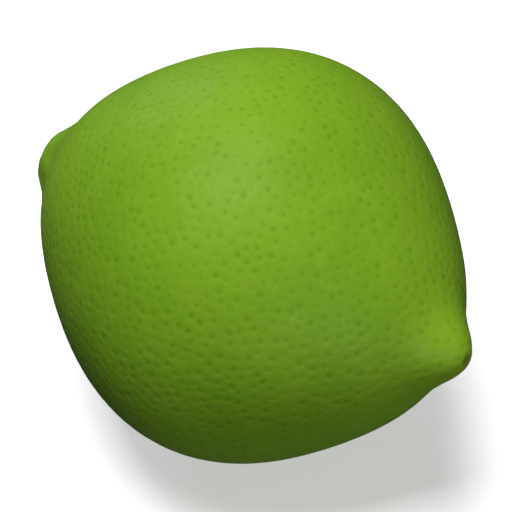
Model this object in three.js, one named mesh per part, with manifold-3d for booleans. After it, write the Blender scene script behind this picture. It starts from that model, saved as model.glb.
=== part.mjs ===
// A whole lime lying on its side, as one closed solid.
//
// The rind is given by one radius for each direction from the middle of the fruit. The body is round
// about its long axis X and drawn out towards both ends: the blossom end, at +X, carries a blunt tip,
// and the stem end, at -X, a short furrowed neck with the shallow scar that the stalk left.
// Lengths are in millimetres and angles in degrees.

import * as THREE from "three";
import { mergeVertices } from "three/addons/utils/BufferGeometryUtils.js";
import Module from "manifold-3d";

// Driving dimensions of the plain ellipsoid that the two ends are added to
const PLAIN_DIAMETER = 50.8;
const PLAIN_HALF_LENGTH = 21.7;

// The two ends. A swell draws the body out gently, and a tip stands on the swell. Each leans a little
// off the long axis, as in a grown fruit. A width is the angle at which a hump has sunk to 37 percent.
const BLOSSOM_END = {
  swellDirection: new THREE.Vector3(1, -0.105, 0.06).normalize(),
  swellHeight: 6.05,
  swellWidth: 36,
  tipDirection: new THREE.Vector3(1, -0.1, 0.11).normalize(),
  tipHeight: 3.5,
  tipWidth: 8.6,
};
const STEM_END = {
  swellDirection: new THREE.Vector3(-1, 0.035, 0.02).normalize(),
  swellHeight: 7.0,
  swellWidth: 39,
  tipDirection: new THREE.Vector3(-1, -0.015, 0.03).normalize(),
  tipHeight: 3.7,
  tipWidth: 8.7,
};

// The dished scar at the end of the neck, and the furrows that run down the neck. A higher power
// makes the floor of the dish flatter and its edge steeper.
const SCAR_DEPTH = 2.2;
const SCAR_WIDTH = 4.4;
const SCAR_POWER = 4;
const FURROW_COUNT = 10;
const FURROW_DEPTH = 0.2;
const FURROW_ANGLE = 13;
const FURROW_WIDTH = 5.5;
const FURROW_UNEVENNESS = 0.5;

// The small flat spot that the fruit rests on, cut this far into its underside
const FLAT_DEPTH = 0.5;

// Fineness of the surface, and how strongly its points crowd towards the two ends
const SUBDIVISIONS = 16;
const CROWDING = 0.3;

// The rind's plain green and its satin gloss
const RIND_COLOUR = 0x7ead22;
const RIND_ROUGHNESS = 0.45;

const { degToRad } = THREE.MathUtils;

// A smooth hump that is 1 in the middle and fades with the angle from it.
function hump(angle, widthDegrees, power = 2) {
  const width = degToRad(widthDegrees);
  return Math.exp(-Math.pow(Math.abs(angle) / width, power));
}

// Distance to the surface of the plain ellipsoid that the ends are added to.
function bodyRadius(direction) {
  const along = direction.x / PLAIN_HALF_LENGTH;
  const across = Math.hypot(direction.y, direction.z) / (PLAIN_DIAMETER / 2);
  return 1 / Math.hypot(along, across);
}

// How far one end stands out of the ellipsoid.
function endHeight(end, direction) {
  const swell = end.swellHeight * hump(end.swellDirection.angleTo(direction), end.swellWidth);
  const tip = end.tipHeight * hump(end.tipDirection.angleTo(direction), end.tipWidth);
  return swell + tip;
}

// Depth of the furrows, unevenly spaced in a ring round the neck, and of the scar in its middle.
function stemEndDepth(direction) {
  const angle = STEM_END.tipDirection.angleTo(direction);
  const sideways = direction.clone().projectOnPlane(STEM_END.tipDirection);
  const turn = Math.atan2(sideways.z, sideways.y);
  const wave = Math.cos(FURROW_COUNT * turn + FURROW_UNEVENNESS * Math.sin(2 * turn));
  const ring = hump(angle - degToRad(FURROW_ANGLE), FURROW_WIDTH);
  const furrow = FURROW_DEPTH * ring * (1 - wave) / 2;
  return furrow + SCAR_DEPTH * hump(angle, SCAR_WIDTH, SCAR_POWER);
}

function rindRadius(direction) {
  const ends = endHeight(BLOSSOM_END, direction) + endHeight(STEM_END, direction);
  return bodyRadius(direction) + ends - stemEndDepth(direction);
}

// Turns a direction towards the nearer end of the long axis, so that the ends get the finer mesh.
function crowdTowardsEnds(direction) {
  const polar = Math.acos(THREE.MathUtils.clamp(direction.x, -1, 1));
  const turn = Math.atan2(direction.z, direction.y);
  const moved = polar - CROWDING * Math.sin(2 * polar);
  const across = Math.sin(moved);
  return new THREE.Vector3(Math.cos(moved), across * Math.cos(turn), across * Math.sin(turn));
}

// A geometry with shared vertices and positions only, ready to become a solid.
function welded(geometry) {
  geometry.deleteAttribute("normal");
  geometry.deleteAttribute("uv");
  return mergeVertices(geometry);
}

// The whole fruit, with the middle of its body at the origin.
function rindGeometry() {
  const geometry = welded(new THREE.IcosahedronGeometry(1, SUBDIVISIONS));
  const positions = geometry.getAttribute("position");
  for (let i = 0; i < positions.count; i += 1) {
    const even = new THREE.Vector3().fromBufferAttribute(positions, i).normalize();
    const direction = crowdTowardsEnds(even);
    const point = direction.multiplyScalar(rindRadius(direction));
    positions.setXYZ(i, point.x, point.y, point.z);
  }
  return geometry;
}

// A block under the fruit, whose top face lies FLAT_DEPTH above the lowest point.
function blockUnder(box) {
  const side = PLAIN_DIAMETER;
  const geometry = new THREE.BoxGeometry(side, side, side);
  geometry.translate(0, 0, box.min.z + FLAT_DEPTH - side / 2);
  return welded(geometry);
}

function toSolid(wasm, geometry) {
  const mesh = new wasm.Mesh({
    numProp: 3,
    vertProperties: new Float32Array(geometry.getAttribute("position").array),
    triVerts: new Uint32Array(geometry.getIndex().array),
  });
  return new wasm.Manifold(mesh);
}

function toGeometry(solid) {
  const mesh = solid.getMesh();
  const geometry = new THREE.BufferGeometry();
  geometry.setAttribute("position", new THREE.BufferAttribute(mesh.vertProperties, 3));
  geometry.setIndex(new THREE.BufferAttribute(mesh.triVerts, 1));
  geometry.computeVertexNormals();
  return geometry;
}

// The fruit with its flat spot, placed so that the middle of its base is at the origin.
function limeMesh(wasm) {
  const whole = rindGeometry();
  whole.computeBoundingBox();
  const solid = toSolid(wasm, whole).subtract(toSolid(wasm, blockUnder(whole.boundingBox)));
  const geometry = toGeometry(solid);
  geometry.computeBoundingBox();
  const { min, max } = geometry.boundingBox;

  const rind = new THREE.MeshStandardMaterial({ color: RIND_COLOUR, roughness: RIND_ROUGHNESS });
  const mesh = new THREE.Mesh(geometry, rind);
  mesh.name = "lime";
  mesh.position.set(-(min.x + max.x) / 2, -(min.y + max.y) / 2, -min.z);
  return mesh;
}

const wasm = await Module();
wasm.setup();

const group = new THREE.Group();
group.add(limeMesh(wasm));

export default group;
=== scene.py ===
"""A whole lime lying on its side on a plain pale floor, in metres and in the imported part's frame."""

import math
from collections import namedtuple

import bmesh
import bpy
import numpy as np
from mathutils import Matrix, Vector, kdtree, noise


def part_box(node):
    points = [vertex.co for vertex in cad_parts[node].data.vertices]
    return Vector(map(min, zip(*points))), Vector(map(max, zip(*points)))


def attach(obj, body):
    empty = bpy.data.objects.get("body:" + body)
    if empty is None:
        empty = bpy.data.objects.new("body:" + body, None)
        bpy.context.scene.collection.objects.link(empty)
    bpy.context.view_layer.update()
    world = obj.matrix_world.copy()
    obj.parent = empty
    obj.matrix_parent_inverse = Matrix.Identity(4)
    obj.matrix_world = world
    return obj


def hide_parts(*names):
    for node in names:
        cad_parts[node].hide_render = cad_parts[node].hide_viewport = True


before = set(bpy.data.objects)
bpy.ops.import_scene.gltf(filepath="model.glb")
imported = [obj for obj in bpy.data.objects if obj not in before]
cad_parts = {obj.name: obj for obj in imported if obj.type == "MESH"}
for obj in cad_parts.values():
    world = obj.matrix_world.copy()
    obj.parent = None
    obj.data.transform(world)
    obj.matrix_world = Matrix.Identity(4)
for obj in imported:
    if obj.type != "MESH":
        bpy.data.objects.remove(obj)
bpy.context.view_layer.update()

MM = 0.001
SMALLEST_LENGTH = 1e-12

# The rind's form, with the same values as the solid: a plain ellipsoid that is drawn out at both ends.
# A swell draws the body out gently, and a tip stands on the swell. Widths are angles in degrees.
PLAIN_DIAMETER = 50.8 * MM
PLAIN_HALF_LENGTH = 21.7 * MM
End = namedtuple("End", "swell_direction swell_height swell_width tip_direction tip_height tip_width")
BLOSSOM_END = End((1, -0.105, 0.06), 6.05 * MM, 36, (1, -0.1, 0.11), 3.5 * MM, 8.6)
STEM_END = End((-1, 0.035, 0.02), 7.0 * MM, 39, (-1, -0.015, 0.03), 3.7 * MM, 8.7)
SCAR_DEPTH = 2.2 * MM
SCAR_WIDTH = 4.4
SCAR_POWER = 4
FURROW_COUNT = 10
FURROW_DEPTH = 0.2 * MM
FURROW_ANGLE = 13
FURROW_WIDTH = 5.5
FURROW_UNEVENNESS = 0.5
FLAT_DEPTH = 0.5 * MM

# What only the fine surface shows at the stem end: the bare face of the scar with its wavy edge, a plug
# of cork in its middle, short cracks between the two, and the grain of the cork
FACE_WIDTH = 4.5
FACE_POWER = 12
FACE_WAVES = 5
FACE_WAVINESS = 0.05
FACE_FAINTEST = 0.01
PLUG_HEIGHT = 0.22 * MM
PLUG_WIDTH = 1.8
PLUG_POWER = 6
CRACK_COUNT = 11
CRACK_DEPTH = 0.1 * MM
CRACK_ANGLE = 3.1
CRACK_WIDTH = 0.8
CORK_GRAIN = 0.35 * MM
CORK_ROUGHNESS = 0.06 * MM

# The small sunken mark that the style left on the blossom tip
STYLE_MARK_DEPTH = 0.2 * MM
STYLE_MARK_WIDTH = 1.3
STYLE_TINT_POWER = 4

# How far the tints of the neck, the tip and the scar's edge reach, and the place with no pits
NECK_TINT_WIDTH = 22
TIP_TINT_WIDTH = 12
SCAR_EDGE_WIDTH = 0.45
BARE_STEM_WIDTH = 6.4
BARE_STEM_POWER = 4

# The pits over the oil glands, and the shares of their full size that they have
GLAND_SPACING = 1.15 * MM
GLAND_RADIUS = 0.4 * MM
GLAND_DEPTH = 0.065 * MM
GLAND_SIZES = (0.75, 1.15)
GLAND_CANDIDATES = 60000
GLANDS_NEAR_A_POINT = 3

# The mesh: parts that each edge of an icosahedron is split into, digits at which its faces' points are
# the same, and how strongly the points crowd round the two tips, within about this angle
SURFACE_FREQUENCY = 99
WELD_DIGITS = 6
CROWDING = 0.6
CROWDING_WIDTH = 15
SEED = 7

# Colours of the rind and of the cork on the scar, as on a screen
DEEP_GREEN = (121, 169, 32)
BRIGHT_GREEN = (131, 177, 37)
PATCH_GREEN = (142, 184, 48)
PATCH_SHARE = 0.35
SPECK_GREEN = (84, 130, 18)
SPECK_SHARE = 0.15
DARK_CORK = (150, 140, 86)
PALE_CORK = (184, 172, 118)

# Tints laid over those colours in turn. Each grows with one value stored on the surface, from start up
# to its greatest share where the value is 1.
Tint = namedtuple("Tint", "value start share colour")
RIND_TINTS = (
    Tint("tip", start=0, share=0.3, colour=(146, 184, 42)),
    Tint("neck", start=0, share=0.3, colour=(104, 152, 28)),
    Tint("pit", start=0.35, share=0.4, colour=(88, 136, 19)),
)
SCAR_TINTS = (
    Tint("scar_edge", start=0, share=0.7, colour=(104, 96, 44)),
    Tint("plug", start=0, share=0.75, colour=(122, 98, 58)),
    Tint("style_mark", start=0, share=0.6, colour=(112, 112, 48)),
)

# Sizes of the blotches in the colours and the gloss, of the finest grain, and of the specks
MOTTLE_SIZE = 14 * MM
PATCH_SIZE = 3 * MM
GLOSS_SIZE = 5 * MM
CORK_MOTTLE_SIZE = 0.4 * MM
SKIN_GRAIN = 0.35 * MM
SPECK_SPACING = 0.8 * MM
SPECK_RADIUS = 0.26 * MM

# The part of a noise's range, 0 to 1, that a blend is spread over. The last takes its high spots alone.
NOISE_MIDDLE = (0.35, 0.65)
NOISE_WIDE = (0.3, 0.7)
NOISE_PATCHES = (0.5, 0.75)

# Gloss of the rind
ROUGHNESS = (0.42, 0.54)
SPECULAR_LEVEL = 0.13
BUMP_STRENGTH = 0.3
BUMP_HEIGHT = 0.05 * MM

# Sockets of the Mix node that carry colours
MIX_FIRST = 6
MIX_SECOND = 7
MIX_RESULT = 2

# The floor: it glows a little, so that the shadow on it stays pale
FLOOR_SIZE = 30
FLOOR_COLOUR = (0.92, 0.92, 0.92, 1)
FLOOR_ROUGHNESS = 0.9
FLOOR_SPECULAR_LEVEL = 0.1
FLOOR_GLOW = 0.45

# The photograph's view: where the camera stands round the fruit, and how much it takes in
CAMERA_AZIMUTH = 33.8
CAMERA_ELEVATION = 45.8
CAMERA_DISTANCE = 260 * MM
CLIP_START = 1 * MM
VIEW_WIDTH = 61.88 * MM
VIEW_SHIFT_UP = 0.09 * MM
SENSOR_WIDTH_MM = 36

# The studio: square soft lights at one distance, with their sides in metres and power in watts
Light = namedtuple("Light", "name azimuth elevation side power")
LIGHTS = (
    Light("top_light", azimuth=322, elevation=81, side=0.4, power=7.3),
    Light("right_light", azimuth=60, elevation=11, side=0.3, power=1.7),
    Light("back_light", azimuth=240, elevation=20, side=0.4, power=1.2),
)
LIGHT_DISTANCE = 0.9
WORLD_STRENGTH = 0.06
WHITE = (1, 1, 1, 1)


def unit(vector):
    vector = np.asarray(vector, float)
    length = np.linalg.norm(vector, axis=-1, keepdims=True)
    return vector / np.maximum(length, SMALLEST_LENGTH)


def hump(angle, width_degrees, power=2):
    """A smooth hump that is 1 in the middle and fades with the angle from it."""
    return np.exp(-(np.abs(angle) / math.radians(width_degrees)) ** power)


def angle_from(axis, directions):
    return np.arccos(np.clip(directions @ unit(axis), -1, 1))


def across(axis, directions):
    """The part of each direction that is square to an axis."""
    return directions - np.outer(directions @ unit(axis), unit(axis))


def turn_round(axis, directions):
    """The angle that each direction has round an axis."""
    sideways = across(axis, directions)
    return np.arctan2(sideways[:, 2], sideways[:, 1])


def body_radius(directions):
    along = directions[:, 0] / PLAIN_HALF_LENGTH
    sideways = np.hypot(directions[:, 1], directions[:, 2]) / (PLAIN_DIAMETER / 2)
    return 1 / np.hypot(along, sideways)


def end_height(end, directions):
    swell = end.swell_height * hump(angle_from(end.swell_direction, directions), end.swell_width)
    tip = end.tip_height * hump(angle_from(end.tip_direction, directions), end.tip_width)
    return swell + tip


def furrow_depth(directions):
    """Furrows that run down the neck, unevenly spaced in a ring round the stem end."""
    turn = turn_round(STEM_END.tip_direction, directions)
    wave = np.cos(FURROW_COUNT * turn + FURROW_UNEVENNESS * np.sin(2 * turn))
    angle = angle_from(STEM_END.tip_direction, directions)
    ring = hump(angle - math.radians(FURROW_ANGLE), FURROW_WIDTH)
    return FURROW_DEPTH * ring * (1 - wave) / 2


def rind_radius(directions):
    """Distance from the middle of the fruit to its surface, as in the solid."""
    ends = end_height(BLOSSOM_END, directions) + end_height(STEM_END, directions)
    stem_angle = angle_from(STEM_END.tip_direction, directions)
    scar = SCAR_DEPTH * hump(stem_angle, SCAR_WIDTH, SCAR_POWER)
    return body_radius(directions) + ends - furrow_depth(directions) - scar


def scar_face(directions):
    """1 on the bare face of the scar, inside its wavy edge, and 0 on the rind."""
    wave = 1 + FACE_WAVINESS * np.cos(FACE_WAVES * turn_round(STEM_END.tip_direction, directions))
    return hump(angle_from(STEM_END.tip_direction, directions) * wave, FACE_WIDTH, FACE_POWER)


def cork_grain(directions):
    """Height of the fine uneven grain on the face of the scar."""
    face = scar_face(directions)
    grain = np.zeros(len(directions))
    for i in np.flatnonzero(face > FACE_FAINTEST):
        place = directions[i] * PLAIN_HALF_LENGTH / CORK_GRAIN
        grain[i] = CORK_ROUGHNESS * face[i] * noise.noise(Vector(place))
    return grain


def scar_relief(directions):
    """Height that the plug, the cracks and the grain of the cork add to the face of the scar."""
    angle = angle_from(STEM_END.tip_direction, directions)
    turn = turn_round(STEM_END.tip_direction, directions)
    plug = PLUG_HEIGHT * hump(angle, PLUG_WIDTH, PLUG_POWER)
    crack_ring = hump(angle - math.radians(CRACK_ANGLE), CRACK_WIDTH)
    cracks = CRACK_DEPTH * crack_ring * (1 + np.cos(CRACK_COUNT * turn)) / 2
    return plug - cracks + cork_grain(directions)


def style_mark_depth(directions):
    return STYLE_MARK_DEPTH * hump(angle_from(BLOSSOM_END.tip_direction, directions), STYLE_MARK_WIDTH)


def crowd_towards(axis, directions):
    """Draws the directions near an axis in towards it, so that the mesh is finer there."""
    angle = angle_from(axis, directions)
    moved = angle * (1 - CROWDING * hump(angle, CROWDING_WIDTH))
    sideways = unit(across(axis, directions))
    return np.outer(np.cos(moved), unit(axis)) + np.sin(moved)[:, None] * sideways


def split_triangle(parts):
    """The points of a triangle whose edges are split, as shares of its corners, and the small triangles."""
    steps = [(i, j) for i in range(parts + 1) for j in range(parts + 1 - i)]
    number = {step: n for n, step in enumerate(steps)}
    shares = np.array([(parts - i - j, i, j) for i, j in steps]) / parts
    small = [(number[i, j], number[i + 1, j], number[i, j + 1]) for i, j in steps if i + j < parts]
    small += [
        (number[i + 1, j], number[i + 1, j + 1], number[i, j + 1])
        for i, j in steps
        if i + j < parts - 1
    ]
    return shares, np.array(small)


def geodesic_sphere(frequency):
    """Directions and triangles of an icosahedron whose edges are each split into frequency parts."""
    source = bmesh.new()
    bmesh.ops.create_icosphere(source, subdivisions=1, radius=1)
    shares, small = split_triangle(frequency)
    points, triangles = [], []
    for face in source.faces:
        corners = np.array([corner.co for corner in face.verts])
        triangles.append(small + len(points) * len(shares))
        points.append(shares @ corners)
    source.free()
    every = unit(np.concatenate(points))
    rounded = np.round(every, WELD_DIGITS)
    _, first, place = np.unique(rounded, axis=0, return_index=True, return_inverse=True)
    return every[first], place.ravel()[np.concatenate(triangles)]


def tree_of(points):
    tree = kdtree.KDTree(len(points))
    for i, point in enumerate(points):
        tree.insert(point, i)
    tree.balance()
    return tree


def gland_places(random):
    """Points on the rind, none closer to another than the gland spacing, in no visible order."""
    directions = unit(random.normal(size=(GLAND_CANDIDATES, 3)))
    places = directions * rind_radius(directions)[:, None]
    tree = tree_of(places)
    free = np.ones(len(places), bool)
    kept = []
    for i, place in enumerate(places):
        if free[i]:
            kept.append(i)
            free[[near for _, near, _ in tree.find_range(place, GLAND_SPACING)]] = False
    return places[kept]


def gland_pits(points, random):
    """How deep each point of the surface lies in a pit: 1 at the middle of a full-sized one."""
    places = gland_places(random)
    sizes = random.uniform(*GLAND_SIZES, len(places))
    tree = tree_of(places)
    pits = np.zeros(len(points))
    for i, point in enumerate(points):
        for _, near, distance in tree.find_n(point, GLANDS_NEAR_A_POINT):
            pits[i] += sizes[near] * math.exp(-((distance / (GLAND_RADIUS * sizes[near])) ** 2))
    return pits


def cut_flat(directions, radius, height):
    """Ends the underside at this height, on the flat spot that the fruit rests on."""
    below = directions[:, 2] < 0
    radius[below] = np.minimum(radius[below], height / directions[below, 2])


def middle_in_frame(plain, floor):
    """Where the middle of the fruit stands, so that its plain surface lies on the solid's."""
    low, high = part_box("lime")
    middle = (plain.min(0) + plain.max(0)) / 2
    return np.array([(low.x + high.x) / 2 - middle[0], (low.y + high.y) / 2 - middle[1], low.z - floor])


def mesh_object(name, points, triangles, attributes):
    mesh = bpy.data.meshes.new(name)
    mesh.from_pydata(points.tolist(), [], triangles.tolist())
    mesh.shade_smooth()
    for key, values in attributes.items():
        mesh.attributes.new(key, "FLOAT", "POINT").data.foreach_set("value", values.astype(np.float32))
    thing = bpy.data.objects.new(name, mesh)
    bpy.context.scene.collection.objects.link(thing)
    return thing


def lime_object():
    """The fruit's fine surface on its flat spot, where the solid stands, and the middle of the fruit."""
    random = np.random.default_rng(SEED)
    directions, triangles = geodesic_sphere(SURFACE_FREQUENCY)
    for end in (STEM_END, BLOSSOM_END):
        directions = crowd_towards(end.tip_direction, directions)
    stem_angle = angle_from(STEM_END.tip_direction, directions)
    tip_angle = angle_from(BLOSSOM_END.tip_direction, directions)

    radius = rind_radius(directions)
    plain = directions * radius[:, None]
    pits = gland_pits(plain, random)
    pits *= 1 - hump(stem_angle, BARE_STEM_WIDTH, BARE_STEM_POWER)
    radius += scar_relief(directions) - style_mark_depth(directions) - GLAND_DEPTH * pits
    floor = plain[:, 2].min() + FLAT_DEPTH
    cut_flat(directions, radius, floor)
    centre = middle_in_frame(plain, floor)

    lime = mesh_object("lime_rind", directions * radius[:, None] + centre, triangles, {
        "pit": pits,
        "scar": scar_face(directions),
        "scar_edge": hump(stem_angle - math.radians(FACE_WIDTH), SCAR_EDGE_WIDTH),
        "plug": hump(stem_angle, PLUG_WIDTH, PLUG_POWER),
        "neck": hump(stem_angle, NECK_TINT_WIDTH),
        "tip": hump(tip_angle, TIP_TINT_WIDTH),
        "style_mark": hump(tip_angle, STYLE_MARK_WIDTH, STYLE_TINT_POWER),
    })
    return lime, Vector(centre)


def linear(colour):
    """A colour given as on a screen, 0 to 255, as the linear values that a shader takes."""
    shares = [channel / 255 for channel in colour]
    return tuple(s / 12.92 if s <= 0.04045 else ((s + 0.055) / 1.055) ** 2.4 for s in shares)


class Nodes:
    """Short calls for building one material's node tree."""

    def __init__(self, name):
        self.material = bpy.data.materials.new(name)
        self.material.use_nodes = True
        self.tree = self.material.node_tree
        self.shader = self.tree.nodes["Principled BSDF"]

    def link(self, output, socket):
        self.tree.links.new(output, socket)

    def add(self, kind, **values):
        node = self.tree.nodes.new(kind)
        for name, value in values.items():
            setattr(node, name, value)
        return node

    def attribute(self, name):
        return self.add("ShaderNodeAttribute", attribute_name=name).outputs["Fac"]

    def texture(self, kind, size):
        """A texture node whose pattern is about size metres across."""
        node = self.add(kind)
        node.inputs["Scale"].default_value = 1 / size
        self.link(self.add("ShaderNodeTexCoord").outputs["Object"], node.inputs["Vector"])
        return node

    def noise(self, size, detail, roughness=0.5):
        node = self.texture("ShaderNodeTexNoise", size)
        node.inputs["Detail"].default_value = detail
        node.inputs["Roughness"].default_value = roughness
        return node.outputs["Fac"]

    def spread(self, value, low, high, to_low=0.0, to_high=1.0):
        """Maps low..high of a value to to_low..to_high, and holds it there."""
        node = self.add("ShaderNodeMapRange")
        self.link(value, node.inputs["Value"])
        node.inputs["From Min"].default_value = low
        node.inputs["From Max"].default_value = high
        node.inputs["To Min"].default_value = to_low
        node.inputs["To Max"].default_value = to_high
        return node.outputs["Result"]

    def specks(self, spacing, radius):
        """Small round spots scattered at random: 1 in the middle of each, and 0 between them."""
        node = self.texture("ShaderNodeTexVoronoi", spacing)
        return self.spread(node.outputs["Distance"], 0, radius / spacing, 1, 0)

    def less(self, value, other):
        node = self.add("ShaderNodeMath", operation="SUBTRACT")
        self.link(value, node.inputs[0])
        self.link(other, node.inputs[1])
        return node.outputs["Value"]

    def mix(self, share, first, second):
        """A colour that goes from first to second. Each may be a socket or a screen colour."""
        node = self.add("ShaderNodeMix", data_type="RGBA")
        self.link(share, node.inputs["Factor"])
        for value, index in ((first, MIX_FIRST), (second, MIX_SECOND)):
            if isinstance(value, tuple):
                node.inputs[index].default_value = (*linear(value), 1)
            else:
                self.link(value, node.inputs[index])
        return node.outputs[MIX_RESULT]

    def tinted(self, colour, tints):
        """The colour with each tint laid over it in turn."""
        for tint in tints:
            share = self.spread(self.attribute(tint.value), tint.start, 1, 0, tint.share)
            colour = self.mix(share, colour, tint.colour)
        return colour


def rind_colour(nodes, specks):
    """The green of the rind, a little uneven, paler at the tip, deeper on the neck and over the glands."""
    mottle = nodes.spread(nodes.noise(MOTTLE_SIZE, detail=3), *NOISE_MIDDLE)
    green = nodes.mix(mottle, DEEP_GREEN, BRIGHT_GREEN)
    patches = nodes.spread(nodes.noise(PATCH_SIZE, detail=2), *NOISE_PATCHES, 0, PATCH_SHARE)
    green = nodes.mix(patches, green, PATCH_GREEN)
    green = nodes.tinted(green, RIND_TINTS)
    return nodes.mix(nodes.spread(specks, 0, 1, 0, SPECK_SHARE), green, SPECK_GREEN)


def scarred_colour(nodes, rind):
    """The rind's colour with the scar and its plug at the stem end, and the style's mark at the tip."""
    mottle = nodes.spread(nodes.noise(CORK_MOTTLE_SIZE, detail=3), *NOISE_MIDDLE)
    cork = nodes.mix(mottle, DARK_CORK, PALE_CORK)
    colour = nodes.mix(nodes.attribute("scar"), rind, cork)
    return nodes.tinted(colour, SCAR_TINTS)


def rind_material():
    nodes = Nodes("lime_rind")
    specks = nodes.specks(SPECK_SPACING, SPECK_RADIUS)
    colour = scarred_colour(nodes, rind_colour(nodes, specks))
    nodes.link(colour, nodes.shader.inputs["Base Color"])

    roughness = nodes.spread(nodes.noise(GLOSS_SIZE, detail=3), *NOISE_WIDE, *ROUGHNESS)
    nodes.link(roughness, nodes.shader.inputs["Roughness"])
    nodes.shader.inputs["Specular IOR Level"].default_value = SPECULAR_LEVEL

    bump = nodes.add("ShaderNodeBump")
    bump.inputs["Strength"].default_value = BUMP_STRENGTH
    bump.inputs["Distance"].default_value = BUMP_HEIGHT
    grain = nodes.noise(SKIN_GRAIN, detail=3, roughness=0.6)
    nodes.link(nodes.less(grain, specks), bump.inputs["Height"])
    nodes.link(bump.outputs["Normal"], nodes.shader.inputs["Normal"])
    return nodes.material


def floor_object():
    """A plain pale floor, far wider than any view."""
    bpy.ops.mesh.primitive_plane_add(size=FLOOR_SIZE)
    floor = bpy.context.object
    floor.name = "floor"
    nodes = Nodes("floor")
    nodes.shader.inputs["Base Color"].default_value = FLOOR_COLOUR
    nodes.shader.inputs["Roughness"].default_value = FLOOR_ROUGHNESS
    nodes.shader.inputs["Specular IOR Level"].default_value = FLOOR_SPECULAR_LEVEL
    nodes.shader.inputs["Emission Color"].default_value = WHITE
    nodes.shader.inputs["Emission Strength"].default_value = FLOOR_GLOW
    floor.data.materials.append(nodes.material)
    floor.visible_diffuse = False
    floor.visible_glossy = False


def view_axes(azimuth, elevation):
    """The directions from the fruit to the camera, to the picture's right and to its top."""
    turn, rise = math.radians(azimuth), math.radians(elevation)
    back = Vector((math.sin(turn) * math.cos(rise), -math.cos(turn) * math.cos(rise), math.sin(rise)))
    right = Vector((math.cos(turn), math.sin(turn), 0))
    return back, right, back.cross(right)


def place_facing(name, data, target, back, distance):
    """Adds a camera or a light that looks at the target from the side that back points to."""
    thing = bpy.data.objects.new(name, data)
    thing.location = target + distance * back
    thing.rotation_euler = back.to_track_quat("Z", "Y").to_euler()
    bpy.context.scene.collection.objects.link(thing)
    return thing


def add_camera(centre):
    back, _, up = view_axes(CAMERA_AZIMUTH, CAMERA_ELEVATION)
    data = bpy.data.cameras.new("camera")
    data.sensor_width = SENSOR_WIDTH_MM
    data.lens = SENSOR_WIDTH_MM * CAMERA_DISTANCE / VIEW_WIDTH
    data.clip_start = CLIP_START
    target = centre + VIEW_SHIFT_UP * up
    bpy.context.scene.camera = place_facing("camera", data, target, back, CAMERA_DISTANCE)


def add_lights(centre):
    for light in LIGHTS:
        data = bpy.data.lights.new(light.name, "AREA")
        data.size = light.side
        data.energy = light.power
        back, _, _ = view_axes(light.azimuth, light.elevation)
        place_facing(light.name, data, centre, back, LIGHT_DISTANCE)
    world = bpy.data.worlds.new("studio")
    world.use_nodes = True
    background = world.node_tree.nodes["Background"]
    background.inputs["Color"].default_value = WHITE
    background.inputs["Strength"].default_value = WORLD_STRENGTH
    bpy.context.scene.world = world


lime, fruit_centre = lime_object()
lime.data.materials.append(rind_material())
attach(lime, "root")
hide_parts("lime")

floor_object()
add_camera(fruit_centre)
add_lights(fruit_centre)
bpy.context.scene.view_settings.view_transform = "Standard"
